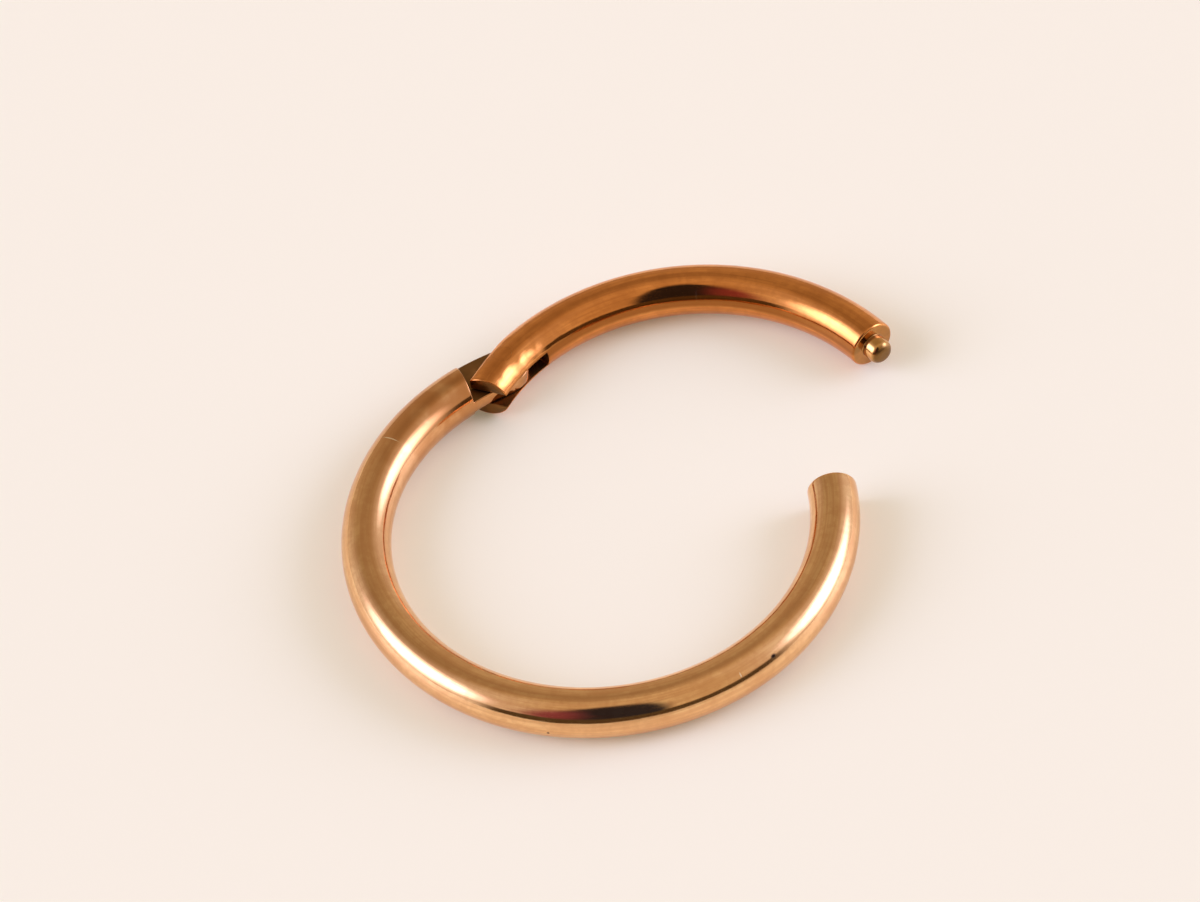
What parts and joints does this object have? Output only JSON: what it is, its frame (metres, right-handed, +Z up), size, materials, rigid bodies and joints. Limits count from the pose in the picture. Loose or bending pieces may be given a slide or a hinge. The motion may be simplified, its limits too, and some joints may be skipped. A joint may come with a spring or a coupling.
{
  "type": "hinged segment nose ring",
  "caption": "Round-wire nose ring with a gate that swings open on a flush hinge pin; the gate's round-ended stub drops into a socket in the other end.",
  "frame": {"origin": "on the surface that the ring lies on, under the middle of its outline with the gate part way open", "axes": "+Z up, along the axis of the ring's hole and of the hinge pin; +X to the right and +Y away, as the picture shows it"},
  "size_m": [0.0132, 0.0142, 0.0012],
  "materials": {
    "rose_gold": "polished rose gold plating over steel",
    "copper_gold": "polished copper-toned gold plating over steel"
  },
  "bodies": {
    "ring": {"fixed_segment": "rose_gold"},
    "gate": {"hinged_gate": "copper_gold", "hinge_pin": "copper_gold"}
  },
  "joints": [
    {"name": "gate_hinge", "type": "hinge", "parent": "ring", "child": "gate", "pos_m": [-0.00275, 0.00425, 0.0006], "axis": [0, 0, 1], "range_deg": [-29.3, 85]}
  ]
}
